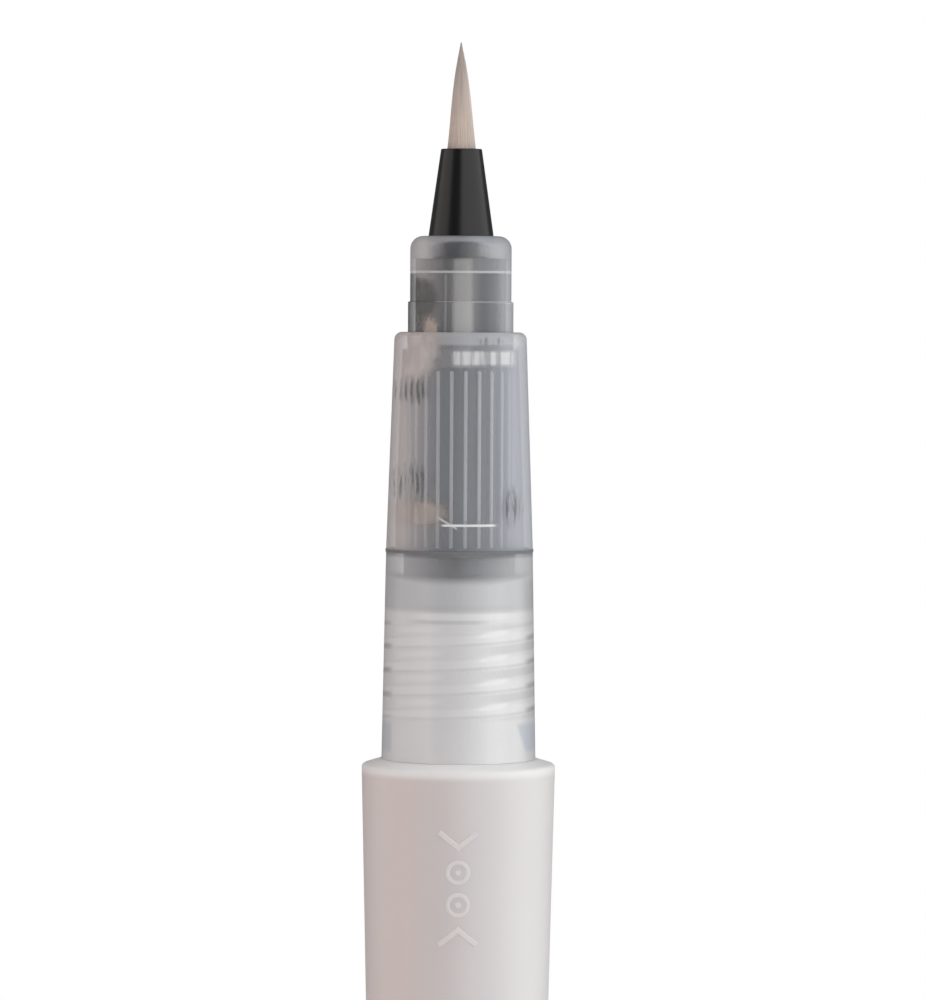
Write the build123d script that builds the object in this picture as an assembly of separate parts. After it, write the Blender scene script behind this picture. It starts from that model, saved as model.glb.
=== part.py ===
"""A squeeze-barrel brush pen, posted on its own cap and standing tip up.

Millimetres, +Z up along the pen's axis, with the origin at the centre of the cap's flat end.
Each function makes one separate piece, and write_parts() saves each piece as one STEP file.
"""

from build123d import *
from math import cos, radians
import os

# ---- Driving dimensions ------------------------------------------------------------------------
barrel_length = 100.0
barrel_radius = 6.5  # at the shoulder
barrel_mid_radius = 5.47  # half way down the gentle hollow taper
tail_radius = 4.9
barrel_wall = 0.9

cap_length = 53.0
cap_overlap = 27.0  # how far the posted cap covers the tail

collar_height = 13.85
sleeve_height = 14.45
nose_height = 6.4
nozzle_height = 5.8
tuft_length = 7.15

thread_pitch = 1.6
thread_turns = 4.25
thread_lead_in = 0.9  # plain neck above the thread
rib_count = 24
rib_phase = 6.3  # degrees from +X to the first rib

touch = 0.02  # gap between two pieces that seat in one another
slack = 0.05  # gap between two pieces that slide or are only located

gasket_thickness = 0.2
web_thickness = 0.95
core_base_height = 2.3
plug_flange = 0.5
tail_flange = 1.0
tail_plug_height = 5.5

# ---- Heights along the pen, from the cap's flat end up --------------------------------------------
tail_z = cap_length - cap_overlap
shoulder_z = tail_z + barrel_length
neck_top_z = shoulder_z + 9.9
thread_z = neck_top_z - thread_lead_in - thread_pitch * thread_turns
web_z = shoulder_z + 10.95  # underside of the web across the collar
web_top_z = web_z + web_thickness
seam_z = shoulder_z + collar_height
sleeve_z = seam_z + gasket_thickness
spigot_top_z = sleeve_z + 2.0  # the collar's spigot ends here, inside the sleeve
sleeve_top_z = sleeve_z + sleeve_height
sleeve_shelf_z = sleeve_top_z - 1.15  # the nose ring's flange is held under this shelf
collector_low_z = web_top_z + core_base_height + touch
collector_high_z = sleeve_top_z - 2.35
core_top_z = sleeve_top_z + 4.0
socket_floor_z = core_top_z - 8.5
nose_step_z = sleeve_top_z + 2.0
nose_wall_z = core_top_z + 1.0  # underside of the nose ring's end wall
nose_top_z = sleeve_top_z + nose_height
heel_z = nose_top_z - 0.35
nozzle_top_z = nose_top_z + nozzle_height
tuft_pivot_z = nozzle_top_z + 0.3
tip_z = nozzle_top_z + tuft_length

# ---- Radii shared by mating pieces ----------------------------------------------------------------
neck_bore = 3.2
neck_radius = 4.2
thread_crest = 4.62
collar_bore = 4.74
collar_thread_crest = 4.34
collar_foot_radius = 5.15
seam_radius = 4.9
sleeve_top_radius = 4.4
core_seat_radius = 3.72  # bore of the collar and its spigot round the feed core
core_base_radius = 3.65
core_radius = 3.0
flange_radius = 3.8  # the nose ring's hidden flange
nozzle_socket = 2.35  # bore of the feed core that takes the nozzle's stem
nose_radius = 3.38
nose_skirt_radius = 3.52
nozzle_base_radius = 2.27
nozzle_tip_radius = 1.4
tuft_radius = 1.1
nozzle_mouth = tuft_radius + slack
wick_radius = 0.9
sponge_radius = 1.75  # bore of the nozzle's stem, which holds the sponge and the tuft's heel
liner_floor_z = 3.0
tail_plug_radius = tail_radius - barrel_wall
sleeve_bore_low = 4.28
spigot_radius = sleeve_bore_low - touch


def turned(outline, rounds=()):
    """Solid of revolution about Z.

    The outline is the (radius, height) corners of a closed shape.
    The rounds are (corner, fillet radius) pairs.
    """
    profile = make_face(Polyline(*outline, close=True))
    for corner, radius in rounds:
        near = min(profile.vertices(), key=lambda v: abs(v.X - corner[0]) + abs(v.Y - corner[1]))
        profile = fillet(near, radius)
    return revolve(Plane.XZ * profile, Axis.Z)


def ring(inner, outer, low, high, rounds=()):
    """Plain tube between two radii and two heights, or a disc where inner is 0."""
    return turned([(inner, low), (outer, low), (outer, high), (inner, high)], rounds)


def barrel_curve(inset, low, high):
    """The barrel's hollow taper as one arc, moved inwards by inset, from low to high."""
    full = ThreePointArc(
        (tail_radius - inset, tail_z),
        (barrel_mid_radius - inset, (tail_z + shoulder_z) / 2),
        (barrel_radius - inset, shoulder_z),
    )
    run = shoulder_z - tail_z
    return full.trim((low - tail_z) / run, (high - tail_z) / run)


def helical_ridge(base_radius, crest_radius, base_width, crest_width, start_z, turns):
    """A right-hand thread ridge of trapezoid section, whose crest may be inside or outside its base."""
    path = Helix(thread_pitch, thread_pitch * turns, base_radius, center=(0, 0, start_z))
    depth = crest_radius - base_radius
    root, crest = base_width / 2, crest_width / 2
    section = Polyline((0, -root), (depth, -crest), (depth, crest), (0, root), close=True)
    start = Plane(origin=path @ 0, x_dir=(1, 0, 0), z_dir=path % 0)
    return sweep(start * make_face(section), path=path, is_frenet=True)


# ---- Cap ----------------------------------------------------------------------------------------
cap_radius = 6.5
cap_end_radius = 6.42
cap_band_z = cap_length - 28.0  # the cap is a true cylinder above this height
cap_mouth_bore = 5.25
cap_deep_bore = 5.02
crown_height = 1.4


def cap_shell():
    """Open tube with a cylindrical grip band, a slimmer foot, and a fluted ring near its closed end."""
    deep_z = tail_z - 2
    outline = [
        (cap_deep_bore, crown_height),
        (cap_end_radius, crown_height),
        (cap_radius, cap_band_z),
        (cap_radius, cap_length),
        (cap_mouth_bore, cap_length),
        (cap_deep_bore, deep_z),
    ]
    body = turned(outline, [(outline[3], 0.35), (outline[4], 0.3)])
    flute_count, flute_radius, flute_length, flute_depth = 24, 0.6, 6.4, 0.1
    flute_z = crown_height + 4.6
    reach = cap_end_radius + 0.12 + flute_radius - flute_depth
    flute = Pos(reach, 0, flute_z) * Cylinder(flute_radius, flute_length)
    return body - [Rot(0, 0, 360 / flute_count * i) * flute for i in range(flute_count)]


def cap_crown():
    """End button pressed into the cap's foot; its underside is the flat face the pen stands on."""
    spigot = ring(0, cap_deep_bore - touch, crown_height, liner_floor_z)
    button_radius, button_round = cap_end_radius, 0.22
    button = ring(0, button_radius, 0, crown_height, [((button_radius, 0), button_round)])
    return button + spigot


def cap_liner():
    """Inner cap: a soft cup that seals round the nose ring when the pen is capped."""
    bore, flared_bore, outer = 3.45, 3.65, 4.55
    top_z, flare_z = tail_z - 2.5, tail_z - 4.5
    flange_z = liner_floor_z + 0.8
    outline = [
        (0, liner_floor_z),
        (cap_deep_bore - slack, liner_floor_z),
        (cap_deep_bore - slack, flange_z),
        (outer, flange_z),
        (outer - 0.15, top_z),
        (flared_bore, top_z),
        (bore, flare_z),
        (bore, flange_z),
        (0, flange_z),
    ]
    return turned(outline)


# ---- Barrel -------------------------------------------------------------------------------------
mark_relief = 0.1
mark_middle_z = shoulder_z - 8.1
mark_pitch = 2.15
mark_width = 2.7
mark_span = 12.0  # length of barrel that carries the marks


def chevron():
    """Arrow-head mark that points along +Y of its own plane."""
    half, rise, stroke = mark_width / 2, 0.75, 0.5
    return make_face(
        Polyline(
            (-half, -rise),
            (-half, -rise + stroke),
            (0, rise),
            (half, -rise + stroke),
            (half, -rise),
            (0, rise - stroke),
            close=True,
        )
    )


def press_marks():
    """Squeeze-here marks: two arrow heads that point at two ringed dots, in low relief."""
    ringed_dot = Circle(0.85) - Circle(0.5) + Circle(0.24)
    symbols = [Rot(0, 0, 180) * chevron(), ringed_dot, ringed_dot, chevron()]
    skin = barrel_skin(-mark_relief, slack)
    marks = []
    for i, symbol in enumerate(symbols):
        height = mark_middle_z + (1.5 - i) * mark_pitch
        plane = Plane(origin=(0, 0, height), x_dir=(1, 0, 0), z_dir=(0, -1, 0))
        marks += (extrude(plane * symbol, amount=barrel_radius + 1) & skin).solids()
    return marks


def barrel_skin(outer_inset, inner_inset):
    """A thin skin that follows the barrel's outer face over the length that carries the marks."""
    low, high = mark_middle_z - mark_span / 2, mark_middle_z + mark_span / 2
    outer, inner = barrel_curve(outer_inset, low, high), barrel_curve(inner_inset, low, high)
    edges = [outer, inner, Line(outer @ 0, inner @ 0), Line(outer @ 1, inner @ 1)]
    return revolve(Plane.XZ * make_face(edges), Axis.Z)


def barrel():
    """Squeezable reservoir: hollow tapered body, shoulder, and a neck with a male thread."""
    tail_face_z = tail_z + tail_flange
    cavity_top_z = shoulder_z - 1.2
    shoulder_round, neck_round = 0.75, 0.3
    skin = barrel_curve(0, tail_face_z, shoulder_z)
    lining = barrel_curve(barrel_wall, tail_face_z, cavity_top_z)
    edges = [
        skin,
        Polyline(skin @ 1, (neck_radius, shoulder_z), (neck_radius, neck_top_z), (neck_bore, neck_top_z)),
        Polyline((neck_bore, neck_top_z), (neck_bore, cavity_top_z + 0.8), lining @ 1),
        lining,
        Line(lining @ 0, skin @ 0),
    ]
    profile = make_face(edges)
    for corner, radius in ((skin @ 1, shoulder_round), (Vector(neck_radius, neck_top_z), neck_round)):
        near = min(profile.vertices(), key=lambda v: abs(v.X - corner.X) + abs(v.Y - corner.Y))
        profile = fillet(near, radius)
    body = revolve(Plane.XZ * profile, Axis.Z)
    bite = 0.08  # the ridge's root reaches this far into the neck
    ridge = helical_ridge(neck_radius - bite, thread_crest, 0.86, 0.42, thread_z, thread_turns)
    return body + ridge + press_marks()


def tail_plug():
    """Press-in plug that closes the reservoir, with a recess outside and a flat top for the ball."""
    recess_radius, recess_depth = 2.6, 2.6
    skirt_top_z = tail_z + tail_plug_height
    outline = [
        (0, tail_z + recess_depth),
        (recess_radius, tail_z + recess_depth),
        (recess_radius, tail_z),
        (tail_radius - slack, tail_z),
        (tail_radius - slack, tail_z + tail_flange),
        (tail_plug_radius - touch, tail_z + tail_flange),
        (tail_plug_radius - touch, skirt_top_z),
        (0, skirt_top_z),
    ]
    return turned(outline, [(outline[3], 0.4), (outline[6], 0.4)])


ball_radius = 2.4
ball_rest_z = tail_z + tail_plug_height + ball_radius + slack


def mixing_ball():
    """Steel ball that stirs the pigment as the pen is shaken."""
    return Pos(0, 0, ball_rest_z) * Sphere(ball_radius)


# ---- Valve in the neck -----------------------------------------------------------------------------
valve_bore = 2.3
valve_seat_z = shoulder_z + 2.5
valve_floor = 0.8
valve_flange = 0.5
plug_hole = 1.3


def neck_plug():
    """Flanged cup pressed into the neck; the hole in its floor feeds the valve."""
    flange_top_z = neck_top_z + plug_flange
    outline = [
        (plug_hole, valve_seat_z),
        (neck_bore - touch, valve_seat_z),
        (neck_bore - touch, neck_top_z),
        (neck_radius - 0.1, neck_top_z),
        (neck_radius - 0.1, flange_top_z),
        (valve_bore, flange_top_z),
        (valve_bore, valve_seat_z + valve_floor),
        (plug_hole, valve_seat_z + valve_floor),
    ]
    return turned(outline, [(outline[4], 0.2)])


def duckbill_valve():
    """Silicone one-way valve: a flange under a hollow beak whose slit opens under pressure."""
    low = valve_seat_z + valve_floor
    throat, wall, beak_height = 1.1, 0.35, 2.6
    lip, slit = (2.4, 0.42), (1.9, 0.06)
    flange = ring(throat, valve_bore - slack, low, low + valve_flange)
    root = Plane.XY.offset(low + valve_flange - 0.1)
    mouth = root.offset(beak_height)
    beak = loft([root * Circle(throat + wall), mouth * Rectangle(*lip)])
    hollow = loft([root * Circle(throat), mouth * Rectangle(*slit)])
    return flange + beak - hollow


def valve_retainer():
    """Ring that presses the valve's flange onto its seat."""
    bore, height, lead_in = 1.7, 1.4, 0.25
    low = valve_seat_z + valve_floor + valve_flange + touch
    return ring(bore, valve_bore - touch, low, low + height, [((bore, low + height), lead_in)])


def neck_seal():
    """Soft washer between the neck plug's flange and the web in the collar; it rises but doesn't turn."""
    bore, outer = 2.45, 3.5
    return ring(bore, outer, neck_top_z + plug_flange + touch, web_z - slack)


# ---- Front section, which screws onto the neck ------------------------------------------------------
def collar():
    """Clear collar: female thread, a web with an ink hole, and a spigot that the sleeve grips."""
    low = shoulder_z + slack
    ink_hole = wick_radius + 0.5
    outline = [
        (collar_bore, low),
        (collar_foot_radius, low),
        (seam_radius, seam_z),
        (spigot_radius, seam_z),
        (spigot_radius, spigot_top_z),
        (core_seat_radius, spigot_top_z),
        (core_seat_radius, web_top_z),
        (ink_hole, web_top_z),
        (ink_hole, web_z),
        (collar_bore - 0.1, web_z),
    ]
    body = turned(outline, [(outline[1], 0.12), (outline[4], 0.15)])
    bite = 0.06
    groove_z = thread_z + thread_pitch / 2  # half way between the neck's turns
    ridge = helical_ridge(collar_bore + bite, collar_thread_crest, 0.66, 0.3, groove_z, thread_turns - 1)
    return body + ridge


def seam_gasket():
    """Thin dark ring in the joint between the collar and the grip sleeve."""
    return ring(spigot_radius + touch, seam_radius + 0.04, seam_z, sleeve_z)


def grip_sleeve():
    """Smooth clear sleeve over the ribbed collector; it tapers upwards to a rounded shoulder."""
    outline = [
        (sleeve_bore_low, sleeve_z),
        (seam_radius, sleeve_z),
        (sleeve_top_radius, sleeve_top_z),
        (nose_skirt_radius + touch, sleeve_top_z),
        (nose_skirt_radius + touch, sleeve_shelf_z),
        (flange_radius + 0.07, sleeve_shelf_z),
        (sleeve_bore_low, spigot_top_z),
    ]
    return turned(outline, [(outline[2], 0.5)])


def ink_collector():
    """Tube round the feed core with straight ribs, which hold surplus ink between them."""
    inner, tube, crest = core_radius + touch, 3.2, 3.66
    rib_width, root_overlap, crest_chamfer = 0.26, 0.06, 0.3
    height = collector_high_z - collector_low_z
    body = ring(inner, tube, collector_low_z, collector_high_z)
    depth = crest - tube + root_overlap
    rib = Pos(crest - depth / 2, 0, collector_low_z + height / 2) * Box(depth, rib_width, height)
    top_edges = rib.edges().group_by(Axis.Z)[-1].filter_by(Axis.Y)
    rib = chamfer(top_edges.sort_by(Axis.X)[-1], crest_chamfer)
    return body + [Rot(0, 0, rib_phase + 360 / rib_count * i) * rib for i in range(rib_count)]


def feed_core():
    """Dark core on the collar's web: a wide base, a stem, and a socket for the nozzle."""
    base_top_z = web_top_z + core_base_height
    outline = [
        (wick_radius + slack, web_top_z),
        (core_base_radius, web_top_z),
        (core_base_radius, base_top_z),
        (core_radius, base_top_z),
        (core_radius, core_top_z),
        (nozzle_socket, core_top_z),
        (nozzle_socket, socket_floor_z),
        (wick_radius + slack, socket_floor_z),
    ]
    return turned(outline, [(outline[1], 0.6), (outline[4], 0.15)])


def nose_ring():
    """Clear nose: a stepped cap over the core whose end wall holds the nozzle's flange down."""
    flange_z, flange_top_z = collector_high_z + touch, sleeve_shelf_z - touch
    bore, mouth = core_radius + touch, nozzle_base_radius - 0.02
    outline = [
        (bore, flange_z),
        (flange_radius, flange_z),
        (flange_radius, flange_top_z),
        (nose_skirt_radius, flange_top_z),
        (nose_skirt_radius, nose_step_z),
        (nose_radius, nose_step_z + 0.05),
        (nose_radius, nose_top_z),
        (mouth, nose_top_z),
        (mouth, nose_wall_z),
        (bore, nose_wall_z),
    ]
    return turned(outline, [(outline[6], 0.85)])


groove_low_z, groove_high_z = core_top_z - 3.8, core_top_z - 3.1
groove_radius = 2.0


def nozzle():
    """Black cone that grips the tuft, with a flange and a grooved stem in the feed core."""
    shaft, flange, stem = nozzle_base_radius - 0.04, 2.85, nozzle_socket - touch
    flange_z = core_top_z + touch
    stem_z, root_top_z = socket_floor_z + 0.6, nose_top_z + 0.6
    outline = [
        (sponge_radius, stem_z),
        (stem, stem_z),
        (stem, groove_low_z),
        (groove_radius, groove_low_z),
        (groove_radius, groove_high_z),
        (stem, groove_high_z),
        (stem, flange_z),
        (flange, flange_z),
        (flange, nose_wall_z - touch),
        (shaft, nose_wall_z - touch),
        (shaft, nose_top_z),
        (nozzle_base_radius, nose_top_z + touch),
        (nozzle_tip_radius, nozzle_top_z),
        (nozzle_mouth, nozzle_top_z),
        (nozzle_mouth, root_top_z),
        (sponge_radius, root_top_z),
    ]
    return turned(outline, [(outline[12], 0.08)])


def nozzle_seal():
    """O-ring in the groove of the nozzle's stem."""
    section = (nozzle_socket - groove_radius - touch) / 2
    centre = (nozzle_socket + groove_radius) / 2
    return Pos(0, 0, (groove_low_z + groove_high_z) / 2) * Torus(centre, section)


def tuft_heel():
    """Fused heel of the tuft: a disc behind the mouth and the bound root of the filaments."""
    bore, disc_radius = 0.42, sponge_radius - slack
    disc_top_z, root_top_z = nose_top_z + 0.55, tuft_pivot_z - tuft_radius - slack
    outline = [
        (bore, heel_z),
        (disc_radius, heel_z),
        (disc_radius, disc_top_z),
        (tuft_radius, disc_top_z),
        (tuft_radius, root_top_z),
        (bore, root_top_z),
    ]
    return turned(outline)


def feed_wick():
    """Fibre rod that carries ink from the web's hole to the heart of the tuft, with a slim nib."""
    nib = 0.38
    nib_low_z, nib_high_z = heel_z - 0.3, tuft_pivot_z - 2.2
    outline = [
        (0, web_top_z),
        (wick_radius, web_top_z),
        (wick_radius, nib_low_z - 0.7),
        (nib, nib_low_z),
        (nib, nib_high_z),
        (0, nib_high_z + 0.2),
    ]
    return turned(outline)


def flow_sponge():
    """Foam sleeve round the wick inside the nozzle, which evens out the flow."""
    low, length = socket_floor_z + 1.2, 6.4
    return ring(wick_radius + touch, sponge_radius - touch, low, low + length)


def brush_tuft():
    """Exposed tuft: round at the mouth, nearly straight sides, and a fine point."""
    tip_radius = 0.05
    side = Spline(
        (tuft_radius, tuft_pivot_z),
        (0.78, tuft_pivot_z + 2.2),
        (0.5, tuft_pivot_z + 4.5),
        (0.3, tuft_pivot_z + 5.75),
        (tip_radius, tip_z),
        tangents=[(-0.08, 1), (-0.28, 1)],
    )
    bottom = (0, tuft_pivot_z - tuft_radius)
    quarter = tuft_radius * cos(radians(45))
    dome = ThreePointArc(bottom, (quarter, tuft_pivot_z - quarter), (tuft_radius, tuft_pivot_z))
    axis = Polyline((tip_radius, tip_z), (0, tip_z), bottom)
    return revolve(Plane.XZ * make_face([dome, side, axis]), Axis.Z)


PIECES = [
    cap_shell,
    cap_crown,
    cap_liner,
    barrel,
    tail_plug,
    mixing_ball,
    neck_plug,
    duckbill_valve,
    valve_retainer,
    neck_seal,
    collar,
    seam_gasket,
    grip_sleeve,
    ink_collector,
    feed_core,
    nose_ring,
    nozzle,
    nozzle_seal,
    tuft_heel,
    feed_wick,
    flow_sponge,
    brush_tuft,
]


def write_parts():
    """Save every piece in its own file, under the piece's own name."""
    os.makedirs("parts", exist_ok=True)
    for piece in PIECES:
        export_step(piece().solid(), f"parts/{piece.__name__}.step")


write_parts()
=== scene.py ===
"""Looks, lights and camera for a squeeze-barrel brush pen that stands tip up, posted on its cap.

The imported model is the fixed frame. Everything is in metres, +Z up, and -Y is the pen's front.
Outlines and the places of small details are given in millimetres.
"""

import math
import random

import bpy
from mathutils import Matrix, Vector


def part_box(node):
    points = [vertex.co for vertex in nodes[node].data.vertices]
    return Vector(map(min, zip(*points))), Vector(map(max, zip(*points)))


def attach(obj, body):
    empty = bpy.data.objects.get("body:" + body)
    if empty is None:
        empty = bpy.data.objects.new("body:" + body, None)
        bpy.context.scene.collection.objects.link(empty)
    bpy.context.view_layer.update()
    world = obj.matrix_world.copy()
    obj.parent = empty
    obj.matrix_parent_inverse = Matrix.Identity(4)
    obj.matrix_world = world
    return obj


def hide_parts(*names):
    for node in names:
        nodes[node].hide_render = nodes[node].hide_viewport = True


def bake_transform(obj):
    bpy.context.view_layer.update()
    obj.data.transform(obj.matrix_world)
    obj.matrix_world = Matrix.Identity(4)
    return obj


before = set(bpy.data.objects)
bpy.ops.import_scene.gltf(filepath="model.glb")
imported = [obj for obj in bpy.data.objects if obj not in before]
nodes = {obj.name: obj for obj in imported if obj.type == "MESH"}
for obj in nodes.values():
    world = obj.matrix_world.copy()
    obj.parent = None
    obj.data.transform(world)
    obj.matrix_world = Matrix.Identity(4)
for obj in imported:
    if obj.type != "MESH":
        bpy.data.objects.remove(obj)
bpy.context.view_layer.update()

MM = 0.001
WHITE = (1.0, 1.0, 1.0)


# ---- Places on the pen, read from the frame, in millimetres -----------------------------------------
def low_z(node):
    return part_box(node)[0].z / MM


def high_z(node):
    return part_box(node)[1].z / MM


barrel_low_z = low_z("barrel")
tail_z = low_z("tail_plug")
neck_height = 9.9  # from the shoulder to the neck's top
neck_top_z = high_z("barrel")
shoulder_z = neck_top_z - neck_height
seam_z = low_z("seam_gasket")
sleeve_low_z, sleeve_top_z = low_z("grip_sleeve"), high_z("grip_sleeve")
collector_low_z, collector_high_z = low_z("ink_collector"), high_z("ink_collector")
core_low_z, core_top_z = low_z("feed_core"), high_z("feed_core")
nose_top_z = high_z("nose_ring")
nose_step_z = core_top_z - 2.0
mouth_z = high_z("nozzle")
tip_z = high_z("brush_tuft")
tail_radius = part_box("tail_plug")[1].x / MM
shoulder_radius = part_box("barrel")[1].x / MM
barrel_run = shoulder_z - tail_z

neck_radius = 4.2
thread_pitch = 1.6
thread_turns = 4.25
thread_inset = 0.9  # plain neck above the thread
thread_z = neck_top_z - thread_inset - thread_pitch * thread_turns


# ---- Node helpers -----------------------------------------------------------------------------------
# A Mix node has sockets for each kind of data; these are the ones for colours
COLOUR_A, COLOUR_B, COLOUR_OUT = 6, 7, 2


class Graph:
    """A material's node tree, with short calls for the nodes that the finishes share."""

    def __init__(self, name):
        self.material = bpy.data.materials.new(name)
        self.material.use_nodes = True
        self.tree = self.material.node_tree
        self.shader = self.tree.nodes["Principled BSDF"]
        self.object_space = self.tree.nodes.new("ShaderNodeTexCoord").outputs["Object"]
        scaled = self.tree.nodes.new("ShaderNodeVectorMath")
        scaled.operation = "SCALE"
        scaled.inputs["Scale"].default_value = 1 / MM
        self.link(self.object_space, scaled.inputs[0])
        split = self.tree.nodes.new("ShaderNodeSeparateXYZ")
        self.link(scaled.outputs[0], split.inputs[0])
        self.x, self.y, self.z = split.outputs

    def set(self, **values):
        """Constants on the shader's own sockets; an underscore stands for a space."""
        for name, value in values.items():
            self.shader.inputs[name.replace("_", " ")].default_value = value

    def link(self, source, target):
        self.tree.links.new(source, target)

    def feed(self, name, source):
        self.link(source, self.shader.inputs[name])

    def fill(self, socket, value):
        """Give a socket a number or a colour, or link another socket to it."""
        if isinstance(value, (int, float)):
            socket.default_value = value
        elif isinstance(value, tuple):
            socket.default_value = (*value, 1.0)
        else:
            self.link(value, socket)

    def math(self, operation, a, b=0.0):
        node = self.tree.nodes.new("ShaderNodeMath")
        node.operation = operation
        for socket, value in zip(node.inputs, (a, b)):
            self.fill(socket, value)
        return node.outputs[0]

    def plus(self, a, b):
        return self.math("ADD", a, b)

    def minus(self, a, b):
        return self.math("SUBTRACT", a, b)

    def over(self, a, b):
        return self.math("DIVIDE", a, b)

    def times(self, *values):
        product = values[0]
        for value in values[1:]:
            product = self.math("MULTIPLY", product, value)
        return product

    def either(self, *values):
        """The greatest of the values, which is where any of several patterns shows."""
        greatest = values[0]
        for value in values[1:]:
            greatest = self.math("MAXIMUM", greatest, value)
        return greatest

    def squares(self, a, b):
        return self.plus(self.times(a, a), self.times(b, b))

    def stretched(self, x, y, z):
        """Object space scaled to suit a grain, in repeats per millimetre."""
        mapping = self.tree.nodes.new("ShaderNodeMapping")
        mapping.inputs["Scale"].default_value = (x / MM, y / MM, z / MM)
        self.link(self.object_space, mapping.inputs["Vector"])
        return mapping.outputs[0]

    def noise(self, x, y, z, detail=3.0, roughness=0.5):
        """Cloudy values from about 0.3 to 0.7, with a grain in repeats per millimetre."""
        node = self.tree.nodes.new("ShaderNodeTexNoise")
        node.inputs["Scale"].default_value = 1.0
        node.inputs["Detail"].default_value = detail
        node.inputs["Roughness"].default_value = roughness
        self.link(self.stretched(x, y, z), node.inputs["Vector"])
        return node.outputs["Fac"]

    def range(self, value, low, high, to_low=0.0, to_high=1.0):
        """Goes smoothly from to_low to to_high as the value goes from low to high."""
        node = self.tree.nodes.new("ShaderNodeMapRange")
        node.interpolation_type = "SMOOTHSTEP"
        self.link(value, node.inputs["Value"])
        node.inputs["From Min"].default_value = low
        node.inputs["From Max"].default_value = high
        node.inputs["To Min"].default_value = to_low
        node.inputs["To Max"].default_value = to_high
        return node.outputs[0]

    def mix(self, share, a, b, kind="MIX"):
        """Colour a where share is 0 and b where it is 1."""
        node = self.tree.nodes.new("ShaderNodeMix")
        node.data_type = "RGBA"
        node.blend_type = kind
        self.fill(node.inputs["Factor"], share)
        self.fill(node.inputs[COLOUR_A], a)
        self.fill(node.inputs[COLOUR_B], b)
        return node.outputs[COLOUR_OUT]

    def tint(self, colour, shade):
        """The colour multiplied by a shade, which is a constant or a socket."""
        return self.mix(1.0, colour, shade, "MULTIPLY")

    def layers(self, colour, *coats):
        """The colour under coats given as (share, colour), the last one on top."""
        for share, coat in coats:
            colour = self.mix(share, colour, coat)
        return colour

    def clouded(self, colour, depth):
        """The colour, unevenly darkened by up to depth of itself."""
        darker = self.tint(colour, (1 - depth, 1 - depth, 1 - depth))
        return self.mix(self.noise(0.8, 0.8, 0.3), colour, darker)

    def bump(self, height, distance):
        node = self.tree.nodes.new("ShaderNodeBump")
        node.inputs["Distance"].default_value = distance
        self.link(height, node.inputs["Height"])
        self.feed("Normal", node.outputs["Normal"])

    def across(self, stops):
        """A colour that changes with x between (x in millimetres, grey or colour) stops."""
        left, right = stops[0][0], stops[-1][0]
        ramp = self.tree.nodes.new("ShaderNodeValToRGB")
        ramp.color_ramp.interpolation = "EASE"
        points = ramp.color_ramp.elements
        while len(points) < len(stops):
            points.new(0.5)
        for point, (x, tone) in zip(points, stops):
            point.position = (x - left) / (right - left)
            point.color = (*tone, 1.0) if isinstance(tone, tuple) else (tone, tone, tone, 1.0)
        self.link(self.over(self.minus(self.x, left), right - left), ramp.inputs["Fac"])
        return ramp.outputs["Color"]

    def radius(self):
        """Millimetres from the pen's axis."""
        return self.math("SQRT", self.squares(self.x, self.y))

    def band(self, value, middle, half, soft):
        """1 within half of the middle, falling to 0 over soft on both sides."""
        away = self.math("ABSOLUTE", self.minus(value, middle))
        return self.range(away, half, half + soft, 1.0, 0.0)

    def spot(self, x, z, half_width, half_height, soft, wobble, grain):
        """1 inside a soft uneven patch on the pen's front, 0 outside; sizes in millimetres."""
        upright = 0.7  # the unevenness is drawn out along the pen
        ragged = self.noise(grain, grain, grain * upright, 4.0, 0.6)
        dx = self.over(self.minus(self.x, x), half_width)
        dz = self.over(self.minus(self.z, z), half_height)
        reach = self.math("SQRT", self.squares(dx, dz))
        uneven = self.plus(reach, self.times(self.minus(ragged, 0.5), wobble))
        return self.times(self.range(uneven, 1 - soft, 1 + soft, 1.0, 0.0), self.front())

    def front(self):
        """1 on the pen's front, fading to 0 at its sides."""
        return self.range(self.y, -0.6, 0.2, 1.0, 0.0)

    def thread_phase(self):
        """How far a point is above the nearest turn of the neck's thread, in turns, -0.5 to 0.5."""
        turned = self.over(self.math("ARCTAN2", self.y, self.x), 2 * math.pi)
        climbed = self.over(self.minus(self.z, thread_z), thread_pitch)
        phase = self.plus(self.minus(climbed, turned), 0.5)
        return self.minus(self.math("FRACT", phase), 0.5)

    def grazing(self):
        """0 where the surface is seen square on, 1 where it is seen edge on."""
        weight = self.tree.nodes.new("ShaderNodeLayerWeight")
        weight.inputs["Blend"].default_value = 0.5
        return weight.outputs["Facing"]

    def see_through(self, facing, grazing, power=1.0):
        """How solid a clear wall looks: more where it is seen along its length than through it."""
        share = self.math("POWER", self.grazing(), power)
        return self.plus(facing, self.times(share, grazing - facing))


def dress(material, *names):
    """Give CAD nodes a finish in place of the one they came with."""
    for name in names:
        slots = nodes[name].material_slots
        for slot in slots:
            slot.material = material
        if not slots:
            nodes[name].data.materials.append(material)
        for face in nodes[name].data.polygons:
            face.material_index = 0


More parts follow.
